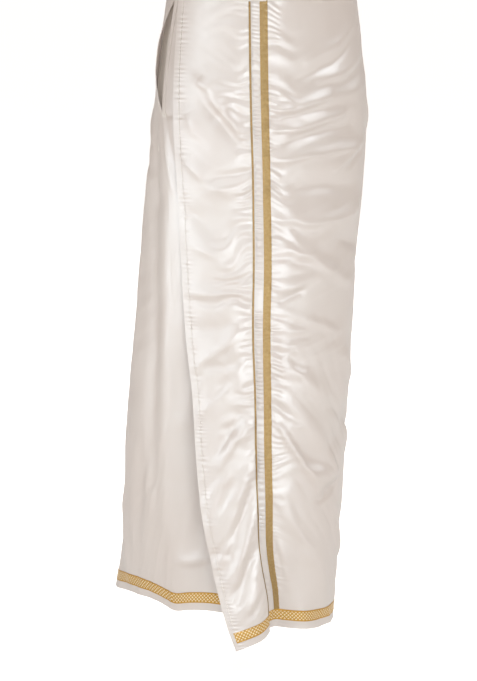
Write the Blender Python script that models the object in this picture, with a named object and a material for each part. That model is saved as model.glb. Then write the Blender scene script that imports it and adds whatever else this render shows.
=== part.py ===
"""Dhoti cloth: one long satin cloth with gold borders, wound round the waist and worn.

Metres, +Z up. The origin is the centre of the waist, where the wearer holds the cloth up.
-Y is the wearer's front and +X the wearer's left.

The cloth is wound in a spiral. A place on it is given by its turn and its height. The turn is
an angle in degrees: 0 is the front, 90 the wearer's left side, 180 the back and 270 the wearer's
right side. The outer layer starts at the free edge, at a turn below 0. The layer under the front
flap has turns above 270, so one table of rings gives both layers.
"""
import math

import bpy
import numpy as np

MM = 0.001

# Cloth and seams, in millimetres
CLOTH = 1.4               # wall of the cloth
TRIM = 1.0                # wall of the hems, bands and borders that lie on it
SEAM_GAP = 0.4            # between stretches, and between the cloth and what lies on it
ROWS = 28                 # of equal height, from the waistband to the border
MM_PER_DEGREE = 2.7       # along the cloth, where one figure is enough for the whole of it
SHARP_ANGLE = 50.0        # degrees, between a wall's faces and its cut edges

# Where the stretches meet, as turns in degrees. The side seam and the front edges are in EDGES.
LEFT_SEAM = 78.0
BACK_SEAM = 140.0
RIGHT_SEAM = 205.0
INNER_END = 372.0         # where the layer under the flap ends, out of sight

# Columns of each stretch, besides those that its bands have to themselves
FLAP_COLUMNS = 5
FRONT_COLUMNS = 13
LEFT_COLUMNS = 8
BACK_COLUMNS = 8
RIGHT_COLUMNS = 10
UNDER_COLUMNS = 9

# Sizes of what is sewn on, in millimetres
FLAP_HEM_WIDTH = 10.0
GOLD_BAND_WIDTH = 12.0
GOLD_LINE_WIDTH = 3.5
GOLD_LINE_ROWS = 22       # that it runs down, to where the flap turns over at the knee
BORDER_HEIGHT = 17.0
BORDER_ABOVE_HEM = 12.0
WAISTBAND_HEIGHT = 38.0
STRIP_TUCK = 7.0          # how far the strip reaches in under the flap
PUCKER_PITCH = 6.0        # up and down the strip
PUCKER_DEPTH = 1.1
PUCKER_SHARES = (0.0, 0.15, 1.0, 0.25)    # of that depth, at each column of the strip

# Pocket in the side seam, in millimetres
POCKET_TOP = -38.0
POCKET_BOTTOM = -202.0
POCKET_MOUTH = 27.0       # how far its back edge stands behind its front edge
POCKET_BULGE = 7.0        # how far its back edge stands out
POCKET_EDGE_WIDTH = 6.0
POUCH_DEPTH = 16.0
POUCH_ROWS = 10
MOUTH_ROWS = 6            # of the cloth, that the mouth's turned edges run down
SECOND_BULGE = 0.7        # of the bulge, one column in from the mouth's edge

# Rings of the wound cloth: name, height, centre (x, y), and its radius at each of TURNS, in
# millimetres. From the hip down the cloth leans to the wearer's right and back.
TURNS = (-90, -60, -30, 0, 30, 60, 90, 120, 150, 180, 210, 240, 270, 300, 330, 360, 390)
RINGS = (
    ("waist", 0, (0, 0),
     (151, 139, 125, 118, 123, 136, 145, 137, 125, 119, 125, 137, 145, 132, 118, 110, 115)),
    ("hip", -200, (3, 4),
     (180, 156, 133, 124, 131, 153, 171, 160, 146, 141, 149, 160, 172, 149, 126, 116, 122)),
    ("thigh", -450, (-7, 20),
     (172, 156, 142, 139, 147, 159, 162, 155, 146, 142, 152, 167, 168, 146, 126, 126, 134)),
    ("knee", -720, (-18, 40),
     (160, 158, 156, 158, 164, 164, 152, 147, 143, 146, 163, 172, 155, 126, 112, 126, 138)),
    ("hem", -980, (-31, 60),
     (146, 160, 176, 170, 174, 168, 146, 134, 138, 158, 196, 150, 116, 110, 118, 128, 134)),
)

# Edges that run down the cloth: height, and the turn of the free edge, of the fold that carries
# the thin gold line, of the wide gold band's middle and of the side seam
EDGES = (
    (0, -84.0, -38.0, -30.0, 271.0),
    (-200, -80.0, -36.5, -29.0, 270.0),
    (-330, -74.7, -32.0, -24.5, 279.0),
    (-420, -71.0, -28.8, -21.0, 281.8),
    (-525, -66.0, -26.3, -18.9, 283.3),
    (-630, -58.5, -22.2, -15.7, 284.0),
    (-705, -54.5, -19.9, -13.6, 284.0),
    (-780, -49.5, -17.3, -11.0, 284.0),
    (-875, -40.0, -13.0, -7.2, 284.0),
    (-940, -32.8, -6.8, -1.2, 284.0),
    (-1010, -24.3, -3.4, 3.0, 284.0),
)

# Lower edge of the cloth: turn and height. It hangs lowest at the flap's corner.
HEMLINE = (
    (-60, -1012), (-25, -1011), (-18, -1005), (-10, -997), (-5, -990), (0, -986), (6, -988),
    (20, -993), (50, -998), (100, -994), (160, -984), (218, -972), (245, -962), (262, -963),
    (278, -970), (285, -974), (315, -970), (328, -980), (400, -985),
)

# How far the strip and the band lie behind the flap: height and depth. It is a shallow step at
# the waist and a deep fold at the hem.
STRIP_STEP = ((0, 2.2), (-200, 2.4), (-420, 3.0), (-630, 4.5), (-780, 7.0), (-875, 11.0),
              (-940, 18.0), (-1010, 27.0))
STEP_WIDTH = 16.0         # degrees over which the front panel comes out of that step
CURL_WIDTH = 9.0          # degrees over which the flap bends in toward it
CURL_SHARE = 0.55         # of the step that the flap's fold bends in

# Largest folds: turn and height of each end, half width, and how far the cloth stands out
# (or, below 0, in) at the fold's middle
FOLDS = (
    # turn, height, end turn, end height, half width, depth
    (277, -235, 284, -960, 16, 5.0),       # ridge down the side seam
    (262, -225, 268, -420, 15, -4.0),      # trough behind it, below the pocket
    (287, -225, 296, -430, 11, -3.0),      # trough before it
    (30, -175, 72, -120, 15, -3.5),        # drag folds from the band to the left hip
    (0, -190, 62, -165, 13, 3.0),
    (-8, -262, 58, -236, 20, -3.5),
    (-5, -420, 66, -330, 17, 3.0),
    (0, -640, 46, -775, 16, 4.5),
    (12, -735, 58, -660, 18, -3.5),
    (-30, -700, -46, -850, 14, 3.0),       # folds of the flap
    (-22, -740, -34, -930, 11, -3.0),
    (-66, -130, -42, -250, 15, 3.0),
    (-62, -320, -36, -420, 18, -3.0),
    (-44, -460, -30, -620, 15, 3.0),
    (96, -260, 112, -900, 26, -4.0),       # hanging folds of the left side and the back
    (128, -300, 134, -960, 24, 4.5),
    (158, -240, 160, -940, 26, -4.5),
    (184, -320, 190, -960, 26, 4.5),
    (214, -230, 206, -880, 24, -4.0),
    (240, -420, 236, -950, 22, 3.5),
)

IVORY = (0.815, 0.755, 0.705, 1.0)
PLAIN_WHITE = (0.84, 0.80, 0.75, 1.0)
GOLD = (0.60, 0.37, 0.11, 1.0)


def smooth(places, values, at):
    """Reads a table at any place, as a smooth curve through its rows."""
    places = np.asarray(places, float)
    values = np.asarray(values, float)
    if places[0] > places[-1]:
        places = places[::-1]
        values = values[::-1]
    steps = np.diff(places)
    slopes = np.diff(values) / steps
    tangents = np.empty_like(values)
    tangents[0] = slopes[0]
    tangents[-1] = slopes[-1]
    tangents[1:-1] = (slopes[:-1] * steps[1:] + slopes[1:] * steps[:-1]) / (steps[1:] + steps[:-1])
    at = np.clip(np.asarray(at, float), places[0], places[-1])
    row = np.clip(np.searchsorted(places, at) - 1, 0, len(places) - 2)
    step = steps[row]
    share = (at - places[row]) / step
    rest = 1.0 - share
    return (values[row] * rest * rest * (1.0 + 2.0 * share)
            + values[row + 1] * share * share * (1.0 + 2.0 * rest)
            + step * share * rest * (tangents[row] * rest - tangents[row + 1] * share))


def between_rings(values, height):
    """Blends one value per ring (each may be an array) at each height."""
    heights = [ring[1] for ring in RINGS]
    height = np.asarray(height, float)
    total = np.zeros(np.broadcast(values[0], height).shape)
    for index, value in enumerate(values):
        alone = [1.0 if other == index else 0.0 for other in range(len(RINGS))]
        total = total + value * smooth(heights, alone, height)
    return total


def edge_turn(column, height):
    return smooth([row[0] for row in EDGES], [row[column] for row in EDGES], height)


def free_edge(height):
    return edge_turn(1, height)


def fold_edge(height):
    return edge_turn(2, height)


def band_middle(height):
    return edge_turn(3, height)


def side_seam(height):
    return edge_turn(4, height)


def fold_relief(turn, height):
    """Sum of the folds that reach a place: each is a soft ridge or trough along a line."""
    relief = np.zeros(np.broadcast(turn, height).shape)
    for turn_a, height_a, turn_b, height_b, half_width, depth in FOLDS:
        along = np.array([(turn_b - turn_a) * MM_PER_DEGREE, height_b - height_a])
        length = np.hypot(*along)
        along = along / length
        east = (turn - turn_a) * MM_PER_DEGREE
        north = height - height_a
        distance_along = east * along[0] + north * along[1]
        distance_off = east * along[1] - north * along[0]
        share = np.clip(distance_along / length, 0.0, 1.0)
        beyond = distance_along - share * length
        taper = np.sin(math.pi * (0.08 + 0.84 * share))
        reach = (distance_off / half_width) ** 2 + (beyond / (1.5 * half_width)) ** 2
        relief = relief + depth * taper * np.exp(-reach)
    return relief


def hem_height(turn):
    return smooth([row[0] for row in HEMLINE], [row[1] for row in HEMLINE], turn)


def strip_step(turn, height):
    """How far the cloth at and beyond the wide band lies behind the flap's surface."""
    depth = smooth([row[0] for row in STRIP_STEP], [row[1] for row in STRIP_STEP], height)
    past = np.clip((turn - band_middle(height)) / STEP_WIDTH, 0.0, 1.0)
    return depth * 0.5 * (1.0 + np.cos(math.pi * past))


def flap_curl(turn, height):
    """How far the flap's fold bends in beside the strip, near the hem."""
    depth = smooth([row[0] for row in STRIP_STEP], [row[1] for row in STRIP_STEP], height)
    before = np.clip((fold_edge(height) - turn) / CURL_WIDTH, 0.0, 1.0)
    return CURL_SHARE * (depth - STRIP_STEP[0][1]) * (1.0 - before) ** 2


def cloth_points(turn, height, lift=0.0, stepped=False, curled=False):
    """Places on the wound cloth's outer face, moved out by lift."""
    turn, height = np.broadcast_arrays(np.asarray(turn, float), np.asarray(height, float))
    radius = between_rings([smooth(TURNS, ring[3], turn) for ring in RINGS], height)
    radius = radius + fold_relief(turn, height) + lift
    if stepped:
        radius = radius - strip_step(turn, height)
    if curled:
        radius = radius - flap_curl(turn, height)
    centre_x = between_rings([ring[2][0] for ring in RINGS], height)
    centre_y = between_rings([ring[2][1] for ring in RINGS], height)
    angle = np.radians(turn)
    places = (centre_x + radius * np.sin(angle), centre_y - radius * np.cos(angle), height)
    return np.stack(places, axis=-1) * MM


def cloth_normals(turn, height, **surface):
    """Outward normals of the wound cloth, the same for two stretches that meet at a seam."""
    by_turn = cloth_points(turn + 1.0, height, **surface) - cloth_points(turn - 1.0, height, **surface)
    up = cloth_points(turn, height + 8.0, **surface) - cloth_points(turn, height - 8.0, **surface)
    normal = np.cross(by_turn, up)
    return normal / np.linalg.norm(normal, axis=-1, keepdims=True)


def degrees_of(width, turn, height):
    """The turn that a width in millimetres takes up at a place."""
    radius = between_rings([smooth(TURNS, ring[3], turn) for ring in RINGS], height)
    return np.degrees(width / radius)


def row_heights(turn):
    """Heights of a stretch's rows: the top, equal rows to the border, the border and the hem."""
    hem = hem_height(turn)
    levels = np.linspace(0.0, 1.0, ROWS + 1)[:, None]
    border_top = hem[1:-2] + BORDER_ABOVE_HEM + BORDER_HEIGHT
    between = -WAISTBAND_HEIGHT + (border_top + WAISTBAND_HEIGHT) * levels
    return np.vstack([0.0 * hem[:1], between, hem[-2:-1] + BORDER_ABOVE_HEM, hem[-1:]])


def stretch_between(left, right, columns, left_band=0.0, right_band=0.0, **surface):
    """Points and normals of one stretch, row by row from the waist, between two edges.

    The edges are functions of height. left_band and right_band are the widths of what lies along
    them, so that it has a column of the cloth to itself.
    """
    shares = np.linspace(0.0, 1.0, columns + 1)
    height = row_heights(np.zeros((ROWS + 4, 1)))
    for _ in range(3):
        start = left(height[:, 0])
        end = right(height[:, -1])
        turns = [start + degrees_of(left_band, start, height[:, 0]),
                 end - degrees_of(right_band, end, height[:, -1])]
        turn = turns[0][:, None] + (turns[1] - turns[0])[:, None] * shares
        turn = np.column_stack([start, turn]) if left_band else turn
        turn = np.column_stack([turn, end]) if right_band else turn
        height = row_heights(turn)
    return cloth_points(turn, height, **surface), cloth_normals(turn, height, **surface)


def drawn_in(grid, gap):
    """A grid whose outer rows and columns are moved in from its edges."""
    grid = grid.copy()
    for axis in (0, 1):
        lines = np.moveaxis(grid, axis, 0)
        for edge, neighbour in ((0, 1), (-1, -2)):
            toward = lines[neighbour] - lines[edge]
            toward = toward / np.linalg.norm(toward, axis=-1, keepdims=True)
            lines[edge] = lines[edge] + toward * gap
    return grid


def ribbon_grids(stretch, rows, columns):
    """Outer and inner points of a band on a stretch, which are the cloth's points moved out."""
    points, normals = stretch
    inner = (points + normals * SEAM_GAP * MM)[rows, columns]
    outer = (points + normals * (SEAM_GAP + TRIM) * MM)[rows, columns]
    return drawn_in(outer, 0.5 * SEAM_GAP * MM), drawn_in(inner, 0.5 * SEAM_GAP * MM)


def grid_faces(rows, columns):
    """Quads of a grid, facing out where rows go down and columns go with the turn."""
    faces = []
    for row in range(rows - 1):
        for column in range(columns - 1):
            first = row * columns + column
            faces.append((first, first + columns, first + columns + 1, first + 1))
    return faces


def make_material(name, colour, roughness, metallic=0.0):
    material = bpy.data.materials.new(name)
    material.use_nodes = True
    shader = material.node_tree.nodes["Principled BSDF"]
    shader.inputs["Base Color"].default_value = colour
    shader.inputs["Roughness"].default_value = roughness
    shader.inputs["Metallic"].default_value = metallic
    return material


def add_wall(name, walls, material_values, collection):
    """A closed wall of cloth between its outer and its inner grid of points."""
    outer, inner = walls
    rows, columns = outer.shape[:2]
    count = rows * columns
    faces = grid_faces(rows, columns)
    faces += [(a + count, d + count, c + count, b + count) for a, b, c, d in faces]
    index = np.arange(count).reshape(rows, columns)
    rim = [*index[0, :], *index[1:, -1], *index[-1, -2::-1], *index[-2:0:-1, 0]]
    rim = [int(place) for place in rim]
    for here, there in zip(rim, rim[1:] + rim[:1]):
        faces.append((here, there, there + count, here + count))
    points = np.concatenate([outer.reshape(-1, 3), inner.reshape(-1, 3)])
    mesh = bpy.data.meshes.new(name)
    mesh.from_pydata([tuple(point) for point in points], [], faces)
    mesh.shade_smooth()
    mesh.set_sharp_from_angle(angle=math.radians(SHARP_ANGLE))
    mesh.materials.append(make_material(name + "_finish", *material_values))
    collection.objects.link(bpy.data.objects.new(name, mesh))


def cloth_wall(stretch):
    """Outer and inner points of a stretch of plain cloth."""
    points, normals = stretch
    return points, points - normals * CLOTH * MM


def pocket_share(height):
    """0 at both ends of the pocket's mouth, 1 where it is widest."""
    share = np.clip((height - POCKET_BOTTOM) / (POCKET_TOP - POCKET_BOTTOM), 0.0, 1.0)
    return np.sin(math.pi * share)


def seam_gap_turn(turn, height):
    return degrees_of(0.5 * SEAM_GAP, turn, height)


def at_turn(turn):
    """An edge that runs straight down the cloth, as a function of height."""
    return lambda height: turn + 0.0 * height


def after_seam(edge):
    """The first stretch edge past a seam."""
    return lambda height: edge(height) + seam_gap_turn(edge(height), height)


def before_seam(edge):
    """The last stretch edge before a seam."""
    return lambda height: edge(height) - seam_gap_turn(edge(height), height)


def band_edge(height):
    middle = band_middle(height)
    return middle - degrees_of(0.5 * GOLD_BAND_WIDTH, middle, height)


def pocket_back_edge(height):
    """The side seam below the pocket, and the open back edge of its mouth above."""
    seam = side_seam(height)
    return seam - degrees_of(POCKET_MOUTH * pocket_share(height), seam, height)


def bulge_pocket_mouth(stretch):
    """Stands the mouth's back edge out, as a hand in the pocket leaves it."""
    points, normals = stretch
    bulge = POCKET_BULGE * MM * pocket_share(points[:, -1, 2] / MM)[:, None]
    points[:, -1] += normals[:, -1] * bulge
    points[:, -2] += normals[:, -2] * bulge * SECOND_BULGE
    return points, normals


def strip_stretch():
    """The puckered strip, tucked in under the flap's fold, and how far each point is raised."""
    hem = float(hem_height(fold_edge(-1000.0)))
    border_top = hem + BORDER_ABOVE_HEM + BORDER_HEIGHT
    rows = 2 * int((-WAISTBAND_HEIGHT - border_top) / PUCKER_PITCH)
    height = np.concatenate([
        [0.0], np.linspace(-WAISTBAND_HEIGHT, border_top, rows + 1), [hem + BORDER_ABOVE_HEM, hem]])
    pucker = np.zeros(len(height))
    pucker[2:-4:2] = PUCKER_DEPTH * MM
    fold = fold_edge(height)
    start = fold + degrees_of(2.0 * SEAM_GAP, fold, height)
    end = band_edge(height)
    end = end - degrees_of(2.0 * SEAM_GAP, end, height)
    tuck = fold - degrees_of(STRIP_TUCK, fold, height)
    turn = np.column_stack([tuck, start, 0.5 * (start + end), end])
    height = np.tile(height, (4, 1)).T
    raised = pucker[:, None] * np.array(PUCKER_SHARES)
    points = cloth_points(turn, height, stepped=True)
    return (points, cloth_normals(turn, height, stepped=True)), raised[:, :, None]


def pouch_walls(right, under):
    """The pouch behind the pocket's mouth, from the points of the cloth beside the mouth.

    It lies against the cloth at its edges and is hollow in the middle.
    """
    rows = slice(0, POUCH_ROWS)
    points, normals = (
        np.concatenate([right[part][rows, -4:-1], under[part][rows, 1:4]], axis=1)
        for part in (0, 1))
    across = np.sin(math.pi * np.linspace(0.0, 1.0, points.shape[1]))
    down = np.sin(math.pi * np.linspace(0.0, 1.0, POUCH_ROWS)) ** 0.7
    depth = POUCH_DEPTH * (down[:, None] * across)[:, :, None]
    outer = points - normals * (CLOTH + SEAM_GAP + depth) * MM
    return outer, outer - normals * CLOTH * MM


def build():
    for old in list(bpy.data.objects):
        bpy.data.objects.remove(old, do_unlink=True)
    cloth = bpy.data.collections.new("dhoti_cloth")
    bpy.context.scene.collection.children.link(cloth)
    satin = (IVORY, 0.35)
    plain = (PLAIN_WHITE, 0.6)
    gold = (GOLD, 0.3, 0.8)

    left_seam = at_turn(LEFT_SEAM)
    back_seam = at_turn(BACK_SEAM)
    right_seam = at_turn(RIGHT_SEAM)

    flap = stretch_between(free_edge, fold_edge, FLAP_COLUMNS,
                           FLAP_HEM_WIDTH, GOLD_LINE_WIDTH, curled=True)
    front = stretch_between(band_edge, before_seam(left_seam), FRONT_COLUMNS,
                            GOLD_BAND_WIDTH, stepped=True)
    left = stretch_between(after_seam(left_seam), before_seam(back_seam), LEFT_COLUMNS)
    back = stretch_between(after_seam(back_seam), before_seam(right_seam), BACK_COLUMNS)
    right = stretch_between(after_seam(right_seam), before_seam(pocket_back_edge), RIGHT_COLUMNS,
                            0.0, POCKET_EDGE_WIDTH)
    right = bulge_pocket_mouth(right)
    under = stretch_between(after_seam(side_seam), at_turn(INNER_END), UNDER_COLUMNS,
                            POCKET_EDGE_WIDTH)

    stretches = {
        "front_flap": flap, "front_left_stretch": front, "left_side_stretch": left,
        "back_stretch": back, "right_side_stretch": right, "under_stretch": under,
    }
    for name, stretch in stretches.items():
        add_wall(name, cloth_wall(stretch), satin, cloth)
    strip, raised = strip_stretch()
    strip_outer, strip_inner = cloth_wall(strip)
    add_wall("front_strip", (strip_outer + strip[1] * raised, strip_inner), satin, cloth)
    add_wall("pocket_facing", pouch_walls(right, under), plain, cloth)

    # Hem border: all round, on the rows between the border's edges
    border_rows = slice(-3, -1)
    every = slice(None)
    not_first = slice(1, None)
    borders = {
        "border_flap": (flap, not_first), "border_strip": (strip, not_first),
        "border_front": (front, every), "border_left": (left, every),
        "border_back": (back, every), "border_right": (right, every),
        "border_under": (under, every),
    }
    for name, (stretch, columns) in borders.items():
        add_wall(name, ribbon_grids(stretch, border_rows, columns), gold, cloth)

    # What runs down the cloth: bands from the waistband to the border, hems to the edge
    first_column = slice(0, 2)
    last_column = slice(-2, None)
    mouth_rows = slice(1, 1 + MOUTH_ROWS)
    running = {
        "gold_band": (front, slice(1, -2), first_column, gold),
        "gold_line": (flap, slice(1, 1 + GOLD_LINE_ROWS), last_column, gold),
        "flap_edge_hem": (flap, slice(1, None), first_column, satin),
        "pocket_edge_front": (under, mouth_rows, first_column, plain),
        "pocket_edge_back": (right, mouth_rows, last_column, plain),
    }
    for name, (stretch, rows, columns, finish) in running.items():
        add_wall(name, ribbon_grids(stretch, rows, columns), finish, cloth)

    # Waistband, on the first row. In front it runs on from the flap over the strip.
    top = slice(0, 2)
    waist = {name: ribbon_grids(stretch, top, every) for name, stretch in stretches.items()}
    halves = zip(waist["front_flap"], waist["front_left_stretch"])
    across_front = tuple(np.concatenate(pair, axis=1) for pair in halves)
    add_wall("waistband_front", across_front, satin, cloth)
    add_wall("waistband_left", waist["left_side_stretch"], satin, cloth)
    add_wall("waistband_back", waist["back_stretch"], satin, cloth)
    add_wall("waistband_right", waist["right_side_stretch"], satin, cloth)
    add_wall("waistband_under", waist["under_stretch"], satin, cloth)


build()
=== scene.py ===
# %% [markdown]
# # Dressing a wound satin dhoti
# The real object is one long cloth of ivory art silk. It is wound round the waist, so it hangs as
# a tube of overlapping layers, with gold zari bands sewn on and a small pocket in the side seam.
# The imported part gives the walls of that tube. Here each wall gets a thin cloth of its own, with
# creases, puckers, stitches and a woven finish.

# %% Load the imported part
import math

import bpy
import numpy as np
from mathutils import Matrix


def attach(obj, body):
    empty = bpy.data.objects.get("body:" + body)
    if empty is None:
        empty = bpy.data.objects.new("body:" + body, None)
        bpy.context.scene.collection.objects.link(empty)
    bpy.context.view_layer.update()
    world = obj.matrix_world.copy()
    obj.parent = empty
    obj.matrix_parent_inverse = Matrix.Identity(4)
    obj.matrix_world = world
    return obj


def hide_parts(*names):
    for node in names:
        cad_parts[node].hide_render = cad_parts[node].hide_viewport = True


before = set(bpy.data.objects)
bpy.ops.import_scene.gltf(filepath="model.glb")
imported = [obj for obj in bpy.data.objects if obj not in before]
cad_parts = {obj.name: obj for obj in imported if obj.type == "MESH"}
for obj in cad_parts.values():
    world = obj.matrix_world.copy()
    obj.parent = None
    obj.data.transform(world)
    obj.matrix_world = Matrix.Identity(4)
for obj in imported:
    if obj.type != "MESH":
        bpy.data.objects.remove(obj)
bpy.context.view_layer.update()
MM = 0.001

# %% [markdown]
# ## The wound surface
# A place on the cloth is given by its turn, in degrees round the waist, and its height, in
# millimetres. Turn 0 is the front, 90 the wearer's left side, 180 the back, 270 the wearer's right
# side. The layer under the flap has turns past 270, so the same table of rings gives both layers.
# A formula could give the rings, but a leg pushes cloth out where it likes, so a short table of
# radii is easier to read and to correct.

# %% Rings, edges and hem of the cloth
TURNS = (-90, -60, -30, 0, 30, 60, 90, 120, 150, 180, 210, 240, 270, 300, 330, 360, 390)
RINGS = (  # height, centre, radius at each of TURNS, all in millimetres
    (0, (0, 0), (151, 139, 125, 118, 123, 136, 145, 137, 125, 119, 125, 137, 145, 132, 118, 110, 115)),
    (-200, (3, 4), (180, 156, 133, 124, 131, 153, 171, 160, 146, 141, 149, 160, 172, 149, 126, 116, 122)),
    (-450, (-7, 20), (172, 156, 142, 139, 147, 159, 162, 155, 146, 142, 152, 167, 168, 146, 126, 126, 134)),
    (-720, (-18, 40), (160, 158, 156, 158, 164, 164, 152, 147, 143, 146, 163, 172, 155, 126, 112, 126, 138)),
    (-980, (-31, 60), (146, 160, 176, 170, 174, 168, 146, 134, 138, 158, 196, 150, 116, 110, 118, 128, 134)),
)
EDGES = (  # height, then the turn of the free edge, fold, gold band's middle and side seam
    (0, -84.0, -38.0, -30.0, 271.0),
    (-200, -80.0, -36.5, -29.0, 270.0),
    (-330, -74.7, -32.0, -24.5, 279.0),
    (-420, -71.0, -28.8, -21.0, 281.8),
    (-525, -66.0, -26.3, -18.9, 283.3),
    (-630, -58.5, -22.2, -15.7, 284.0),
    (-705, -54.5, -19.9, -13.6, 284.0),
    (-780, -49.5, -17.3, -11.0, 284.0),
    (-875, -40.0, -13.0, -7.2, 284.0),
    (-940, -32.8, -6.8, -1.2, 284.0),
    (-1010, -24.3, -3.4, 3.0, 284.0),
)
HEMLINE = (  # turn, height
    (-60, -1012), (-25, -1011), (-18, -1005), (-10, -997), (-5, -990), (0, -986), (6, -988),
    (20, -993), (50, -998), (100, -994), (160, -984), (218, -972), (245, -962), (262, -963),
    (278, -970), (285, -973), (300, -968), (315, -965), (332, -967), (350, -972), (400, -985),
)
STRIP_STEP = (  # height, how far the front lies behind the flap beside the strip
    (0, 2.2), (-200, 2.4), (-420, 3.0), (-630, 4.5), (-780, 7.0), (-875, 11.0), (-940, 18.0),
    (-1010, 27.0),
)
STEP_WIDTH = 16.0        # degrees over which the front comes out level again
CURL_WIDTH = 9.0         # degrees over which the flap turns in towards its fold
FOLDS = (  # turn, height, end turn, end height, half width, depth
    (277, -235, 284, -960, 16, 5.0),
    (262, -225, 268, -420, 15, -4.0),
    (287, -225, 296, -430, 11, -3.0),
    (30, -175, 72, -120, 15, -3.5),
    (0, -190, 62, -165, 13, 3.0),
    (-8, -262, 58, -236, 20, -3.5),
    (-5, -420, 66, -330, 17, 3.0),
    (0, -640, 46, -775, 16, 4.5),
    (12, -735, 58, -660, 18, -3.5),
    (-30, -700, -46, -850, 14, 3.0),
    (-22, -740, -34, -930, 11, -3.0),
    (-66, -130, -42, -250, 15, 3.0),
    (-62, -320, -36, -420, 18, -3.0),
    (-44, -460, -30, -620, 15, 3.0),
    (96, -260, 112, -900, 26, -4.0),
    (128, -300, 134, -960, 24, 4.5),
    (158, -240, 160, -940, 26, -4.5),
    (184, -320, 190, -960, 26, 4.5),
    (214, -230, 206, -880, 24, -4.0),
    (240, -420, 236, -950, 22, 3.5),
)
SEAM_TURN = 78.0         # where the sheet in front meets the one round the back
INNER_END = 372.0        # where the layer under the flap ends
WAISTBAND_HEIGHT = 38.0
BORDER_ABOVE_HEM = 12.0
BORDER_HEIGHT = 17.0
GOLD_BAND_WIDTH = 12.0
GOLD_LINE_WIDTH = 3.5
FLAP_HEM_WIDTH = 10.0
STRIP_TUCK = 7.0         # width of the strip that lies hidden under the flap's fold
POCKET_TOP = -38.0
POCKET_BOTTOM = -202.0
POCKET_MOUTH = 27.0
POCKET_BULGE = 7.0
MM_PER_DEGREE = 2.7      # along the cloth, where a single figure is enough
print("rings:", len(RINGS), "edge heights:", len(EDGES), "folds:", len(FOLDS))


# %% Read a table as a smooth curve
def smooth(places, values, at):
    """A curve through values at places, with no corners, that stays level past both ends."""
    places = np.asarray(places, float)
    values = np.asarray(values, float)
    if places[0] > places[-1]:
        places = places[::-1]
        values = values[::-1]
    steps = np.diff(places)
    slopes = np.diff(values) / steps
    tangents = np.empty_like(values)
    tangents[0] = slopes[0]
    tangents[-1] = slopes[-1]
    tangents[1:-1] = (slopes[:-1] * steps[1:] + slopes[1:] * steps[:-1]) / (steps[1:] + steps[:-1])
    at = np.clip(np.asarray(at, float), places[0], places[-1])
    row = np.clip(np.searchsorted(places, at) - 1, 0, len(places) - 2)
    step = steps[row]
    share = (at - places[row]) / step
    rest = 1.0 - share
    return (values[row] * rest * rest * (1.0 + 2.0 * share)
            + values[row + 1] * share * share * (1.0 + 2.0 * rest)
            + step * share * rest * (tangents[row] * rest - tangents[row + 1] * share))


def read(table, at, column=1):
    """A column of a table as a smooth curve over its first column."""
    return smooth([row[0] for row in table], [row[column] for row in table], at)


print("the hem hangs lowest under the flap:", round(float(read(HEMLINE, -60)), 1), "mm")


# %% Radius of the wound cloth
def between_rings(values, height):
    """One value for each ring, blended over the heights between the rings."""
    heights = [ring[0] for ring in RINGS]
    height = np.asarray(height, float)
    total = np.zeros(np.broadcast(values[0], height).shape)
    for index, value in enumerate(values):
        alone = [1.0 if other == index else 0.0 for other in range(len(RINGS))]
        total = total + value * smooth(heights, alone, height)
    return total


def ring_radius(turn, height):
    return between_rings([smooth(TURNS, ring[2], turn) for ring in RINGS], height)


def degrees_of(width, turn, height):
    return np.degrees(width / ring_radius(turn, height))


hip_girth = np.radians(1.0) * ring_radius(np.arange(-30, 330), -200.0).sum() * MM
print("girth at the hip:", round(float(hip_girth), 3), "m")


# %% Edges that run down the cloth
def free_edge(height):
    return read(EDGES, height, 1)


def fold_edge(height):
    return read(EDGES, height, 2)


def band_middle(height):
    return read(EDGES, height, 3)


def side_seam(height):
    return read(EDGES, height, 4)


def band_edge(height):
    middle = band_middle(height)
    return middle - degrees_of(0.5 * GOLD_BAND_WIDTH, middle, height)


def hem_height(turn):
    return read(HEMLINE, turn)


def step_depth(height):
    return read(STRIP_STEP, height)


def pocket_share(height):
    """How wide the pocket's mouth stands open: 0 at its ends, 1 in its middle."""
    share = np.interp(height, (POCKET_BOTTOM, POCKET_TOP), (0.0, 1.0))
    return np.sin(math.pi * share)


def pocket_back_edge(height):
    seam = side_seam(height)
    return seam - degrees_of(POCKET_MOUTH * pocket_share(height), seam, height)


print("turns of the edges at the hip:",
      [round(float(edge(-200.0)), 1) for edge in (free_edge, fold_edge, band_edge, side_seam)])
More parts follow.
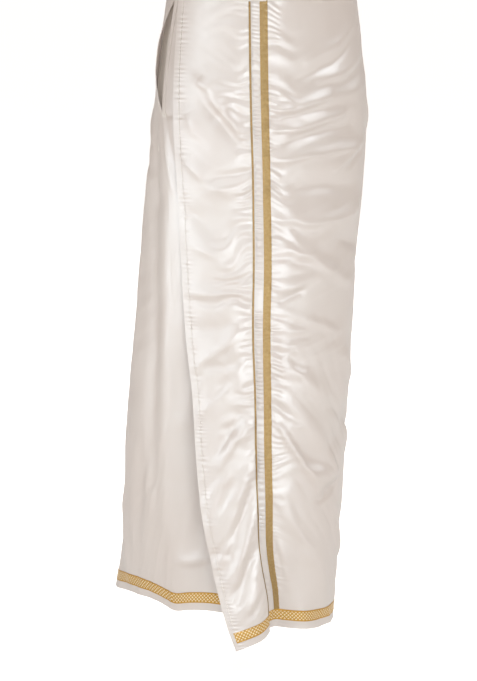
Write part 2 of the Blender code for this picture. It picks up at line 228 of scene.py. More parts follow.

# %% [markdown]
# ## Creases, placed one by one
# Satin creases in long soft ridges and troughs. One flank is usually steeper than the other, and
# each crease dies away at its ends. So each is a short row: how far it stands out (or, below 0,
# in), how wide it is below and above its line, and the line itself as turns and heights. Each
# panel later multiplies its depths by a gain of its own. Evenly spaced waves would be less typing,
# but they read as corrugated sheet, not as cloth.

# %% Tables of creases
FLAP_CREASES = (  # depth, half width below, half width above, line of (turn, height)
    (2.1, 5, 9, ((-68, -148), (-61, -160))),
    (-3.2, 7, 9, ((-64, -178), (-54, -208), (-43, -240))),
    (3.0, 6, 11, ((-58, -176), (-48, -205), (-40, -232))),
    (-2.0, 4, 7, ((-50, -180), (-43, -210))),
    (2.3, 7, 10, ((-73, -196), (-68, -222))),
    (2.4, 6, 10, ((-73, -262), (-67, -276), (-60, -292))),
    (-3.0, 8, 8, ((-56, -292), (-46, -288), (-38, -281))),
    (2.9, 8, 12, ((-56, -303), (-40, -300))),
    (-1.7, 4, 5, ((-43, -322), (-35, -319))),
    (-2.7, 10, 13, ((-71, -335), (-63, -350), (-54, -372))),
    (1.5, 8, 14, ((-66, -392), (-50, -398), (-36, -390))),
    (-1.9, 9, 11, ((-56, -446), (-46, -444), (-35, -438))),
    (1.8, 5, 11, ((-65, -462), (-48, -461), (-33, -457))),
    (-1.5, 4, 6, ((-65, -474), (-50, -480), (-34, -464))),
    (-2.0, 9, 11, ((-62, -516), (-48, -512), (-35, -500))),
    (2.1, 7, 12, ((-58, -572), (-45, -542), (-30, -512))),
    (-1.5, 5, 7, ((-42, -550), (-34, -521))),
    (-1.4, 4, 6, ((-53, -576), (-42, -575), (-33, -564))),
    (-2.0, 7, 10, ((-48, -622), (-38, -590))),
    (1.8, 8, 14, ((-52, -640), (-44, -612), (-34, -600))),
    (2.2, 6, 9, ((-24, -656), (-33, -684), (-39, -720))),
    (-2.2, 6, 9, ((-29, -640), (-36, -668), (-43, -702))),
    (2.4, 6, 8, ((-21, -706), (-28, -790), (-34, -860))),
    (-2.2, 5, 8, ((-30, -738), (-36, -770), (-41, -802))),
    (-2.2, 6, 8, ((-20, -748), (-31, -830), (-38, -864))),
    (1.9, 5, 7, ((-17, -788), (-21, -820), (-26, -898))),
    (-1.8, 5, 6, ((-14, -828), (-21, -880), (-25, -932))),
    (1.7, 5, 7, ((-11, -850), (-17, -942))),
    (-1.5, 5, 5, ((-9, -908), (-15, -952))),
    (-1.4, 5, 7, ((-43, -862), (-31, -858))),
)
FRONT_CREASES = (
    (2.2, 4, 10, ((-28, -192), (-6, -190), (8, -182), (20, -170))),
    (2.0, 4, 9, ((-28, -222), (-6, -220), (14, -212), (34, -201))),
    (2.5, 5, 15, ((-26, -262), (3, -256), (44, -249))),
    (2.1, 6, 14, ((-24, -345), (4, -356), (30, -355), (50, -346))),
    (-1.7, 5, 6, ((-24, -206), (-8, -201), (14, -193))),
    (-1.9, 7, 9, ((-22, -241), (-2, -231), (42, -217))),
    (-2.3, 13, 17, ((-20, -300), (7, -299), (43, -307))),
    (1.5, 3, 9, ((57, -246), (45, -261), (28, -283))),
    (-1.2, 3, 5, ((54, -262), (47, -274), (41, -284))),
    (2.4, 8, 16, ((-15, -448), (5, -450), (22, -436))),
    (-1.8, 5, 7, ((11, -451), (1, -463), (-11, -473))),
    (1.9, 7, 12, ((-5, -392), (18, -425), (48, -462))),
    (1.0, 4, 6, ((4, -505), (31, -531))),
    (-1.3, 4, 6, ((-13, -548), (-4, -556), (4, -579))),
    (-1.0, 3, 5, ((-13, -588), (-6, -603))),
    (1.7, 9, 12, ((0, -576), (18, -624))),
    (2.2, 3, 5, ((-8, -666), (1, -702), (8, -731), (22, -780))),
    (2.0, 7, 13, ((14, -742), (22, -752), (33, -756))),
    (1.7, 10, 10, ((12, -733), (36, -752))),
    (-1.9, 6, 8, ((21, -784), (38, -759))),
    (-1.0, 4, 5, ((-11, -634), (-3, -652))),
    (2.0, 12, 15, ((-5, -768), (6, -822), (15, -870))),
    (-2.0, 12, 14, ((3, -788), (14, -934))),
    (1.6, 12, 14, ((21, -858), (30, -952))),
    (1.2, 3, 5, ((-6, -828), (-1, -868), (4, -904))),
    (1.6, 7, 11, ((52, -60), (30, -96), (2, -118))),
    (-1.4, 6, 8, ((50, -88), (24, -128), (-6, -146))),
    (1.3, 5, 9, ((60, -118), (34, -142), (12, -150))),
    (-1.8, 10, 12, ((30, -382), (58, -402))),
    (1.6, 9, 13, ((34, -560), (62, -612))),
    (-1.6, 9, 11, ((28, -640), (60, -690))),
    (1.5, 8, 12, ((40, -840), (62, -900))),
    (1.6, 8, 12, ((66, -190), (88, -246))),
    (-1.5, 8, 10, ((60, -430), (86, -500))),
)
UNDER_CREASES = (
    (3.0, 4, 5, ((271, -214), (275, -258), (281, -312))),
    (-3.6, 4, 5, ((273, -206), (279, -258), (286, -318))),
    (-2.4, 3, 3, ((270, -222), (271, -262))),
    (-1.8, 2, 3, ((271, -208), (279, -204))),
    (1.2, 14, 14, ((289, -640), (294, -760), (298, -872))),
    (-1.4, 12, 12, ((292, -420), (290, -640))),
    (1.3, 3, 10, ((286, -886), (300, -884), (314, -879))),
    (-1.2, 5, 5, ((284, -926), (283, -956))),
    (2.2, 13, 13, ((285, -250), (289, -420), (292, -660))),
    (1.3, 10, 12, ((300, -300), (322, -352))),
    (-1.2, 9, 11, ((298, -520), (330, -560))),
    (1.3, 9, 12, ((320, -640), (352, -700))),
    (-1.3, 8, 10, ((306, -820), (340, -852))),
)
BACK_CREASES = (
    (1.9, 8, 12, ((82, -158), (100, -169), (124, -166))),
    (-1.7, 8, 10, ((84, -192), (104, -201), (132, -197))),
    (1.7, 9, 14, ((88, -246), (112, -256), (140, -250))),
    (1.8, 9, 13, ((150, -178), (176, -186), (206, -180))),
    (-1.9, 9, 12, ((146, -222), (178, -231), (212, -224))),
    (2.0, 10, 15, ((152, -290), (180, -299), (208, -293))),
    (1.7, 8, 12, ((216, -166), (236, -186), (256, -232))),
    (-1.6, 7, 9, ((220, -206), (238, -228), (254, -282))),
    (1.6, 8, 12, ((214, -300), (232, -330), (246, -390))),
    (-1.9, 10, 14, ((96, -420), (126, -446))),
    (1.9, 10, 14, ((130, -470), (166, -500), (196, -486))),
    (-1.7, 9, 12, ((168, -556), (204, -580))),
    (1.8, 9, 14, ((90, -600), (118, -652))),
    (1.9, 8, 13, ((150, -640), (170, -690), (178, -760))),
    (-1.8, 8, 12, ((196, -640), (214, -700), (222, -780))),
    (1.7, 9, 12, ((118, -770), (126, -900))),
    (-1.7, 10, 12, ((146, -800), (148, -940))),
    (1.6, 9, 12, ((188, -810), (192, -930))),
    (1.5, 8, 11, ((236, -800), (240, -930))),
    (-1.3, 11, 13, ((262, -695), (254, -862))),
    (-1.5, 6, 8, ((262, -222), (266, -276), (269, -338))),
    (-2.4, 14, 14, ((268, -330), (271, -520), (270, -760))),
    (1.8, 12, 12, ((255, -260), (252, -420), (250, -600))),
    (1.5, 8, 12, ((86, -318), (108, -332), (130, -322))),
    (-1.4, 7, 10, ((94, -362), (120, -374))),
    (1.7, 8, 12, ((86, -468), (104, -490), (116, -530))),
    (-1.5, 8, 11, ((92, -556), (114, -568))),
    (1.5, 7, 11, ((132, -536), (152, -590), (159, -640))),
    (1.6, 8, 12, ((97, -710), (110, -770), (114, -846))),
    (1.4, 7, 10, ((134, -690), (142, -776))),
    (1.5, 8, 11, ((168, -376), (200, -396), (226, -386))),
    (-1.4, 7, 10, ((160, -420), (190, -432))),
    (1.4, 7, 11, ((208, -470), (232, -522))),
    (1.3, 8, 11, ((164, -850), (168, -950))),
    (-1.3, 8, 11, ((212, -860), (215, -948))),
    (1.3, 8, 11, ((100, -880), (103, -958))),
)
for where, creases in (("flap", FLAP_CREASES), ("front", FRONT_CREASES), ("under", UNDER_CREASES),
                       ("sides and back", BACK_CREASES)):
    print(where, "creases:", len(creases))

# %% [markdown]
# ## Noise, and the form of a crease
# Cloth is never quite even, so everything on it wanders a little. One seeded noise gives all of
# that, so the cloth is the same on every run. The folds are the large soft waves that the solids
# have too. A crease is sharper: it falls away from a rounded top, and steeper on one flank.


# %% Seeded noise
def eased(reach):
    """1 at 1, 0 at 0, and level at both."""
    return reach ** 3 * (6.0 * reach ** 2 - 15.0 * reach + 10.0)


def wander(east, north, cell, seed):
    """Smooth seeded noise between about -1 and 1, with bumps about one cell wide."""
    angles = np.random.default_rng(seed).uniform(0.0, 2.0 * math.pi, (64, 64))
    x, y = np.broadcast_arrays(np.asarray(east, float) / cell, np.asarray(north, float) / cell)
    column = np.floor(x).astype(int)
    row = np.floor(y).astype(int)
    x = x - column
    y = y - row
    total = np.zeros(x.shape)
    for right in (0, 1):
        for up in (0, 1):
            angle = angles[(row + up) % 64, (column + right) % 64]
            weight = eased(1.0 - abs(x - right)) * eased(1.0 - abs(y - up))
            total = total + weight * (np.cos(angle) * (x - right) + np.sin(angle) * (y - up))
    return 1.5 * total


sample = wander(np.arange(0.0, 900.0, 5.0), 20.0, 60.0, 5)
print("the noise spans", round(float(sample.min()), 2), "to", round(float(sample.max()), 2))


# %% Folds and creases
CREST = 2.4           # half width in millimetres over which a crease's top is rounded
CATCH = 0.6           # a crease's top lies this share of its width below where light catches it
FLANK = 2.5           # millimetres over which one flank hands over to the other


def fold_relief(turn, height):
    """The solids' own folds: each is a soft ridge or trough along a line."""
    relief = np.zeros(np.broadcast(turn, height).shape)
    for start, start_height, end, end_height, half_width, depth in FOLDS:
        along = np.array([(end - start) * MM_PER_DEGREE, end_height - start_height])
        length = np.hypot(*along)
        along = along / length
        east = (turn - start) * MM_PER_DEGREE
        north = height - start_height
        distance_along = east * along[0] + north * along[1]
        distance_off = east * along[1] - north * along[0]
        share = np.clip(distance_along / length, 0.0, 1.0)
        beyond = distance_along - share * length
        taper = np.sin(math.pi * (0.08 + 0.84 * share))
        reach = (distance_off / half_width) ** 2 + (beyond / (1.5 * half_width)) ** 2
        relief = relief + depth * taper * np.exp(-reach)
    return relief


def crease_relief(creases, turn, height):
    """Sum of the creases that reach a place. Their lines wander a little from their tables."""
    east = turn * MM_PER_DEGREE
    drift = 3.0 * wander(east, height, 60.0, 5)
    lift = 2.5 * wander(east, height, 52.0, 6)
    east = east + drift
    north = height + lift
    relief = np.zeros(np.broadcast(turn, height).shape)
    for depth, below, above, line in creases:
        line = np.array(line, float) * (MM_PER_DEGREE, 1.0)
        if line[0, 0] > line[-1, 0]:
            line = line[::-1]
        legs = np.diff(line, axis=0)
        lengths = np.hypot(legs[:, 0], legs[:, 1])
        nearest = np.full(relief.shape, np.inf)
        off = np.zeros(relief.shape)
        along = np.zeros(relief.shape)
        for index, (corner, leg, length) in enumerate(zip(line, legs, lengths)):
            unit = leg / length
            x = east - corner[0]
            y = north - corner[1] + CATCH * above
            reached = np.clip(x * unit[0] + y * unit[1], 0.0, length)
            distance = np.hypot(x - reached * unit[0], y - reached * unit[1])
            closer = distance < nearest
            nearest = np.where(closer, distance, nearest)
            off = np.where(closer, x * unit[1] - y * unit[0], off)
            along = np.where(closer, (lengths[:index].sum() + reached) / lengths.sum(), along)
        width = 0.5 * (below + above) + 0.5 * (below - above) * np.tanh(off / FLANK)
        taper = np.sin(math.pi * (0.12 + 0.76 * along)) ** 0.8
        rounded = np.sqrt(nearest ** 2 + CREST ** 2) - CREST
        relief = relief + depth * taper * np.exp(-(rounded / width) ** 1.5)
    return relief


crease_at_hip = crease_relief(FLAP_CREASES, -46.0, np.array([-205.0, -225.0]))
print("two places beside a crease of the flap, in mm:", np.round(crease_at_hip, 1))

# %% [markdown]
# ## Puckers and small wrinkles
# A seam sewn on satin draws it up, so a row of short puckers crosses every line of stitches. No
# two are alike: their spacing drifts and some are nearly flat. Long fine wrinkles run over the
# rest, at one slant near the hip and another near the hem, as the cloth's weight pulls them.


# %% Puckers beside a seam
SEAM_PUCKER = 6.4                     # millimetres from one pucker of a seam to the next
PHASE_LINE, SWELL_LINE = 10.73, 11.59     # two lines through the noise, away from its corners
DRAWN_UP = (  # share, distance from the seam, half width and pitch of its longer wrinkles
    (0.75, 11.0, 13.0, 14.0),
    (1.0, 32.0, 26.0, 31.0),
)


def puckers(height, pitch, seed):
    """Uneven waves down a line of stitches."""
    phase = height / pitch + 1.3 * wander(height, PHASE_LINE, 4.6 * pitch, seed)
    swell = 0.7 + 0.9 * wander(height, SWELL_LINE, 2.6 * pitch, seed + 1)
    return np.clip(swell, 0.05, 1.4) * np.sin(2.0 * math.pi * phase)


def gathers(height, pitch, seed):
    """Puckers pressed close together: round ridges with a sharp valley between them."""
    return 1.9 * abs(puckers(height, 2.0 * pitch, seed)) - 0.5


def drawn_up(distance, height, seed):
    """Wrinkles that run out from a drawn-up seam: short ones beside it, longer ones beyond."""
    slope = 0.2 + 0.7 * wander(height, distance, 70.0, seed + 9)
    fade = np.interp(height, (-760.0, -600.0), (0.25, 1.0))
    height = height + slope * distance
    relief = 0.9 * np.exp(-distance / 7.0) * gathers(height, 7.5, seed)
    for index, (share, middle, half_width, pitch) in enumerate(DRAWN_UP):
        near = np.exp(-((distance - middle) / half_width) ** 2)
        relief = relief + fade * share * near * puckers(height, pitch, seed + 2 + 2 * index)
    return relief


print("puckers down 20 mm of a seam:",
      np.round(puckers(np.arange(-100.0, -120.0, -2.0), SEAM_PUCKER, 33), 1).tolist())


# %% Wrinkles and swell between the seams
SWELL_BUMPS = ((1.0, 95.0), (0.45, 44.0), (0.16, 19.0))      # share, size in millimetres


def streaks(turn, height, slant, seed):
    """Long thin ridges and troughs at one slant, in patches."""
    east = turn * MM_PER_DEGREE
    along = east * math.cos(slant) + height * math.sin(slant)
    across = height * math.cos(slant) - east * math.sin(slant)
    across = across + 7.0 * wander(along, across, 75.0, seed + 1)
    wide = wander(along, 4.6 * across, 88.0, seed + 2)
    fine = wander(along, 6.0 * across, 60.0, seed + 3)
    patches = np.clip(0.5 + 0.9 * wander(east, height, 85.0, seed + 4), 0.1, 1.0)
    return patches * (wide * (0.6 + abs(wide)) + 0.45 * fine)


def small_wrinkles(turn, height, slants, seed):
    """Fine wrinkles, at one slant near the hip and at another near the hem."""
    low = np.interp(height, (-640.0, -470.0), (1.0, 0.0))
    return ((1.0 - low) * streaks(turn, height, slants[0], seed)
            + low * streaks(turn, height, slants[1], seed + 7))


def soft_swell(turn, height, seed):
    """The slow rise and fall of loose cloth, in bumps of three sizes."""
    return sum(share * wander(turn * MM_PER_DEGREE, height, size, seed + index)
               for index, (share, size) in enumerate(SWELL_BUMPS))


print("a wrinkle and a swell, in mm:",
      np.round([small_wrinkles(20.0, -300.0, (0.3, -0.95), 51), soft_swell(20.0, -300.0, 41)], 2))

# %% [markdown]
# ## Five panels of one cloth
# The flap, the puckered strip beside it, the front, the sides with the back, and the layer under
# the flap each have their own creases. Near a sewn edge the cloth is held flat, so the creases
# fade there. Where two layers lie close, near the waist, they are also kept shallow, so that one
# never comes through the other. That is a rule of thumb in place of a cloth simulation, which
# would need the wearer's body to hang from.

# %% Loose cloth of each panel
LOOSE_CLOTH = {  # creases and their gains at knee and hip, swell, wrinkles at hem and hip, their
    # slants at hip and hem, and the seeds of swell and wrinkles
    "flap": (FLAP_CREASES, (2.0, 1.45), 0.55, (1.6, 0.6), (-0.55, 1.05), (11, 21)),
    "front": (FRONT_CREASES, (2.7, 2.0), 0.8, (2.8, 0.6), (0.3, -0.95), (41, 51)),
    "back": (BACK_CREASES, (3.2, 2.5), 0.9, (2.4, 0.6), (0.5, 1.2), (43, 53)),
    "under": (UNDER_CREASES, (2.0, 1.4), 0.8, (0.7, 0.7), (1.2, 1.5), (45, 55)),
}


def loose(panel, turn, height):
    """Relief of a panel where nothing holds it. Creases are deeper below the knee."""
    creases, gains, swell, shares, slants, seeds = LOOSE_CLOTH[panel]
    gain = np.interp(height, (-680.0, -480.0), gains)
    share = np.interp(height, (-690.0, -440.0), shares)
    return (gain * crease_relief(creases, turn, height) + swell * soft_swell(turn, height, seeds[0])
            + share * small_wrinkles(turn, height, slants, seeds[1]))


def from_edge(edge, turn, height):
    """Distance in millimetres from an edge that runs down the cloth."""
    return abs(turn - edge(height)) * MM_PER_DEGREE


def held_by(distance, reach, least):
    """The share of its creases that cloth keeps at a distance from what holds it."""
    return 1.0 - (1.0 - least) * np.exp(-distance / reach)


def near_hem(turn, height):
    """Puckers beside the two lines of stitches that hold the border."""
    up = height - hem_height(turn) - BORDER_ABOVE_HEM
    lines = np.exp(-abs(up - BORDER_HEIGHT) / 4.5) + 0.8 * np.exp(-abs(up) / 4.0)
    return 0.16 * lines * puckers(turn * MM_PER_DEGREE, 6.5, 71)


print("loose cloth in front, in mm:", np.round(loose("front", 20.0, np.array([-200.0, -800.0])), 2))


# %% Relief of the flap and of the strip beside it
def flap_relief(turn, height):
    to_fold = from_edge(fold_edge, turn, height)
    to_free = from_edge(free_edge, turn, height)
    held = held_by(to_fold, 9.0, 0.35) * held_by(to_free, 8.0, 0.5)
    held = held * np.interp(height, (-150.0, -60.0), (1.0, 0.35))
    beside_line = np.clip((to_fold - GOLD_LINE_WIDTH) / 3.0, 0.12, 1.0)
    at_inner_hem = 0.6 * np.exp(-abs(to_free - FLAP_HEM_WIDTH) / 4.5)
    return (held * loose("flap", turn, height) + beside_line * drawn_up(to_fold, height, 31)
            + at_inner_hem * puckers(height, SEAM_PUCKER, 33) + near_hem(turn, height))


def strip_relief(turn, height):
    """Gathers that are highest along the strip's middle. They end at waistband and border."""
    past_fold = (turn - fold_edge(height)) * MM_PER_DEGREE
    before_band = (band_edge(height) - turn) * MM_PER_DEGREE
    across = np.clip(past_fold / (past_fold + before_band + 1.0e-6), 0.0, 1.0)
    shape = np.sin(math.pi * np.clip(across, 0.02, 0.98)) ** 0.7
    fade = np.interp(height, (-WAISTBAND_HEIGHT - 14.0, -WAISTBAND_HEIGHT), (1.0, 0.0))
    fade = fade * np.interp(height - hem_height(turn), (30.0, 60.0), (0.0, 1.0))
    fade = fade * np.interp(height, (-820.0, -700.0), (0.4, 1.0))
    return 1.3 * fade * shape * gathers(height + 2.0 * across, 8.0, 35)


# %% Relief of the front, of the sides with the back, and of the layer under the flap
def front_relief(turn, height):
    to_band = from_edge(band_edge, turn, height)
    past_band = np.maximum(to_band - GOLD_BAND_WIDTH, 0.0)
    held = held_by(past_band, 6.0, 0.45) * np.interp(height, (-140.0, -50.0), (1.0, 0.45))
    beside_band = np.clip((to_band - 0.85 * GOLD_BAND_WIDTH) / 3.0, 0.12, 1.0)
    return (held * loose("front", turn, height) + beside_band * drawn_up(past_band, height, 61)
            + near_hem(turn, height))


def pocket_bulge(turn, height):
    """The pocket's mouth stands open, because its back edge is pushed out."""
    near = np.exp(-from_edge(pocket_back_edge, turn, height) / 14.0)
    return near * POCKET_BULGE * pocket_share(height)


def back_relief(turn, height):
    """It starts with the front's own creases, so that the two sheets meet."""
    held = np.interp(height, (-140.0, -50.0), (1.0, 0.45))
    held = held * held_by(from_edge(side_seam, turn, height), 6.0, 0.0)
    own = np.interp(turn, (SEAM_TURN, SEAM_TURN + 24.0), (0.0, 1.0))
    cloth = own * loose("back", turn, height) + (1.0 - own) * loose("front", turn, height)
    return held * cloth + pocket_bulge(turn, height) + near_hem(turn, height)


def under_relief(turn, height):
    """It is held flat near the waist, but not beside the side seam, and puckers under the pocket."""
    to_seam = from_edge(side_seam, turn, height)
    held = np.interp(height, (-530.0, -330.0), (1.0, 0.3))
    held = np.maximum(held, np.exp(-to_seam / 30.0)) * held_by(to_seam, 6.0, 0.0)
    below_pocket = np.interp(height, (POCKET_BOTTOM - 10.0, POCKET_BOTTOM), (1.0, 0.0))
    below_pocket = below_pocket * np.exp(-(POCKET_BOTTOM - height) / 120.0)
    at_seam = 0.25 * np.exp(-to_seam / 5.0) * below_pocket
    return (held * loose("under", turn, height) + at_seam * puckers(height, SEAM_PUCKER, 39)
            + near_hem(turn, height))


# %% Places on a panel
PANELS = {  # relief, and what the surface does beside the strip
    "flap": (flap_relief, {"curled": True}),
    "strip": (strip_relief, {"stepped": True}),
    "front": (front_relief, {"stepped": True}),
    "back": (back_relief, {}),
    "under": (under_relief, {}),
}


def cloth_points(turn, height, lift=0.0, stepped=False, curled=False):
    """Places on the wound cloth, in metres, moved out by lift."""
    radius = ring_radius(turn, height) + fold_relief(turn, height) + lift
    if stepped:
        past = np.clip((turn - band_middle(height)) / STEP_WIDTH, 0.0, 1.0)
        radius = radius - step_depth(height) * 0.5 * (1.0 + np.cos(math.pi * past))
    if curled:
        before = np.clip((fold_edge(height) - turn) / CURL_WIDTH, 0.0, 1.0)
        radius = radius - 0.55 * (step_depth(height) - STRIP_STEP[0][1]) * (1.0 - before) ** 2
    centre_x = between_rings([ring[1][0] for ring in RINGS], height)
    centre_y = between_rings([ring[1][1] for ring in RINGS], height)
    angle = np.radians(turn)
    return MM * np.stack([centre_x + radius * np.sin(angle),
                          centre_y - radius * np.cos(angle),
                          height + 0.0 * turn], axis=-1)


def on_panel(panel, turn, height, lift=0.0):
    relief, surface = PANELS[panel]
    turn, height = np.broadcast_arrays(np.asarray(turn, float), np.asarray(height, float))
    return cloth_points(turn, height, relief(turn, height) + lift, **surface)


for panel, turn in (("flap", -50.0), ("front", 20.0), ("back", 180.0), ("under", 300.0)):
    depths = PANELS[panel][0](np.full(5, turn), np.linspace(-100.0, -900.0, 5))
    print(panel, "relief in mm:", np.round(depths, 2))

# %% [markdown]
# ## From a flat grid to a hanging sheet
# Each sheet starts as Blender's own flat grid. Its points are moved to their turn and height on
# a panel, its UV map is laid out in real metres, and Solidify gives it a thickness inwards. An
# extra row of points 0.3 mm from each cut edge keeps the shading even up to the edge, which a
# coarse last row would smear. Cloth physics could drape a flat grid too, but the folds would then
# fall where they like, and each run would have to wait for them.


# %% Places between edges
def level(height):
    """An edge that runs round the cloth at one height."""
    return lambda turn: height + 0.0 * turn


def above_hem(rise):
    return lambda turn: hem_height(turn) + rise


def at_turn(turn):
    """An edge that runs straight down the cloth."""
    return lambda height: turn + 0.0 * height


def beside(edge, width):
    """An edge a given width in millimetres past another one."""
    return lambda height: edge(height) + degrees_of(width, edge(height), height)


def even_shares(count, length, margin=0.3):
    """Shares of a length, even but for one narrow step at each end."""
    inner = np.linspace(margin, length - margin, count - 2)
    return np.concatenate([[0.0], inner, [length]]) / length


def places_between(left, right, top, bottom, across, down):
    """Turns and heights of a grid between two edges that run down and two that run round."""
    height = np.full((len(down), len(across)), -500.0)
    for _ in range(4):                     # an edge's turn needs the height, and the other way round
        start = left(height)
        turn = start + (right(height) - start) * across
        height = top(turn) + (bottom(turn) - top(turn)) * down[:, None]
    return turn, height


test_turn = places_between(free_edge, fold_edge, level(0.0), hem_height,
                           even_shares(5, 130.0), even_shares(5, 1000.0))[0]
print("the flap's foot runs over turns", np.round(test_turn[-1], 1).tolist())


# %% Sheets
def lay_sheet(name, points, thickness, material):
    """A cloth through a grid of points, given row by row from the top, with its wall inwards."""
    rows, columns = points.shape[:2]
    bpy.ops.mesh.primitive_grid_add(x_subdivisions=columns - 1, y_subdivisions=rows - 1, size=1.0)
    sheet = bpy.context.object
    sheet.name = name
    mesh = sheet.data
    mesh.name = name

    # each point of the grid finds its row and column by where it lies
    flat = np.empty(len(mesh.vertices) * 3, np.float32)
    mesh.vertices.foreach_get("co", flat)
    flat = flat.reshape(-1, 3)
    column = np.rint((flat[:, 0] + 0.5) * (columns - 1)).astype(int)
    row = np.rint((0.5 - flat[:, 1]) * (rows - 1)).astype(int)
    moved = points[row, column].astype(np.float32)
    mesh.vertices.foreach_set("co", moved.ravel())

    # the UV map, in metres: along the middle row, and up from the last one
    middle = points[rows // 2]
    steps = np.linalg.norm(np.diff(middle, axis=0), axis=1)
    along = np.concatenate([[0.0], np.cumsum(steps)])
    loops = np.empty(len(mesh.loops), np.int32)
    mesh.loops.foreach_get("vertex_index", loops)
    low = points[-1, :, 2]
    laid = np.stack([along[column], points[row, column, 2] - low[column]], axis=1)[loops]
    mesh.uv_layers.active.data.foreach_set("uv", laid.astype(np.float32).ravel())
    mesh.materials.append(material)
    mesh.update()

    wall = sheet.modifiers.new("wall", "SOLIDIFY")
    wall.thickness = thickness * MM
    wall.offset = -1.0
    bpy.ops.object.modifier_apply(modifier=wall.name)
    bpy.ops.object.shade_smooth_by_angle(angle=math.radians(55.0))
    sheet.select_set(False)
    return sheet


def finish_piece(piece, slot, *nodes):
    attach(piece, "root")
    if nodes:
        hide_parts(*nodes)
    return piece


# %% Ribbons
CLOTH = 0.6              # thicknesses, in millimetres
TURNED = 0.5
FLAP_TURNED = 0.4
RIBBON = 0.3
RIBBON_LIFT = 0.55       # how far what is sewn on stands out from its panel


def ribbon(name, panel, edges, levels, counts, thickness, material, slot, *nodes):
    """A narrow cloth that lies on a panel, made from the panel's own places, moved out."""
    across = np.linspace(0.0, 1.0, counts[0])
    down = np.linspace(0.0, 1.0, counts[1])
    turn, height = places_between(*edges, *levels, across, down)
    points = on_panel(panel, turn, height, RIBBON_LIFT)
    return finish_piece(lay_sheet(name, points, thickness, material), slot, *nodes)


print("what is sewn on lies", round(RIBBON_LIFT - RIBBON, 2), "mm above the cloth below it")

# %% [markdown]
# ## Materials
# The satin is ivory with a soft, long highlight: its long threads all run one way, so it takes
# an anisotropic finish that follows the UV map, tinted so that its highlights are cooler than its
# ivory. The zari is metal thread, so it is mostly metallic, with a fine rib. The hem border's
# repeat is charted in millimetres, as a lattice of small diamonds. A picture of woven cloth could
# be laid over all of it, but nodes stay sharp at any size.


# %% Colours, nodes and weave
def to_linear(code):
    """A hex colour as the linear values that a shader takes."""
    values = [int(code[place:place + 2], 16) / 255.0 for place in (0, 2, 4)]
    values = [value / 12.92 if value <= 0.04045 else ((value + 0.055) / 1.055) ** 2.4
              for value in values]
    return (*values, 1.0)


def add(tree, kind, inputs=(), **settings):
    """Adds a node, sets what it is, and fills or links its inputs by name or number."""
    node = tree.nodes.new("ShaderNode" + kind)
    for name, value in settings.items():
        setattr(node, name, value)
    for place, value in dict(inputs).items():
        if isinstance(value, bpy.types.NodeSocket):
            tree.links.new(value, node.inputs[place])
        else:
            node.inputs[place].default_value = value
    return node


def work_out(tree, operation, *values):
    """One sum with numbers or sockets. Gives the socket with its result."""
    return add(tree, "Math", dict(enumerate(values)), operation=operation).outputs[0]


def new_finish(name, colour, roughness, metallic=0.0):
    material = bpy.data.materials.new(name)
    material.use_nodes = True
    tree = material.node_tree
    shader = tree.nodes["Principled BSDF"]
    shader.inputs["Base Color"].default_value = to_linear(colour)
    shader.inputs["Roughness"].default_value = roughness
    shader.inputs["Metallic"].default_value = metallic
    return material, tree, shader


def tone_between(tree, shader, share, colour, other):
    """Base colour that goes from one hex colour to another as a share goes from 0 to 1."""
    tone = add(tree, "MixRGB", {"Fac": share, "Color1": to_linear(colour),
                                "Color2": to_linear(other)})
    tree.links.new(tone.outputs["Color"], shader.inputs["Base Color"])


def weave_bump(tree, shader, spacing, strength, depth):
    """Fine threads both ways, spaced in metres on the UV map, added to a shader's normal."""
    laid = add(tree, "UVMap").outputs["UV"]
    across = add(tree, "TexWave", {"Vector": laid, "Scale": math.pi / 10.0 / spacing},
                 bands_direction="X")
    down = add(tree, "TexWave", {"Vector": laid, "Scale": math.pi / 10.0 / (spacing * 1.3)},
               bands_direction="Y")
    threads = work_out(tree, "MULTIPLY", across.outputs["Fac"], down.outputs["Fac"])
    bump = add(tree, "Bump", {"Height": threads, "Strength": strength, "Distance": depth})
    tree.links.new(bump.outputs["Normal"], shader.inputs["Normal"])
    return bump


print("ivory as a shader takes it:", np.round(to_linear("D5C1B4"), 3).tolist())


# %% Satin
def satin_finish(name, colour, cloudy_colour, roughness):
    """Ivory satin: its tone and its gloss drift a little from place to place."""
    material, tree, shader = new_finish(name, colour, roughness, 0.10)
    shader.inputs["IOR"].default_value = 2.4
    shader.inputs["Specular IOR Level"].default_value = 0.8
    shader.inputs["Specular Tint"].default_value = (0.80, 0.92, 1.0, 1.0)
    shader.inputs["Anisotropic"].default_value = 0.55
    shader.inputs["Sheen Weight"].default_value = 0.06
    shader.inputs["Sheen Roughness"].default_value = 0.4
    tangent = add(tree, "Tangent", direction_type="UV_MAP", uv_map="UVMap")
    tree.links.new(tangent.outputs["Tangent"], shader.inputs["Tangent"])
    place = add(tree, "TexCoord").outputs["Object"]
    clouds = add(tree, "TexNoise", {"Vector": place, "Scale": 9.0, "Detail": 3.0})
    tone_between(tree, shader, clouds.outputs["Fac"], colour, cloudy_colour)
    uneven = add(tree, "TexNoise", {"Vector": place, "Scale": 26.0, "Detail": 4.0})
    gloss = add(tree, "MapRange", {"Value": uneven.outputs["Fac"], "To Min": roughness - 0.05,
                                   "To Max": roughness + 0.07})
    tree.links.new(gloss.outputs["Result"], shader.inputs["Roughness"])
    weave_bump(tree, shader, 0.0005, 0.1, 0.00005)
    return material


ivory_satin = satin_finish("ivory_satin", "D5C1B4", "DCCDC2", 0.45)
print("satin:", len(ivory_satin.node_tree.nodes), "nodes")


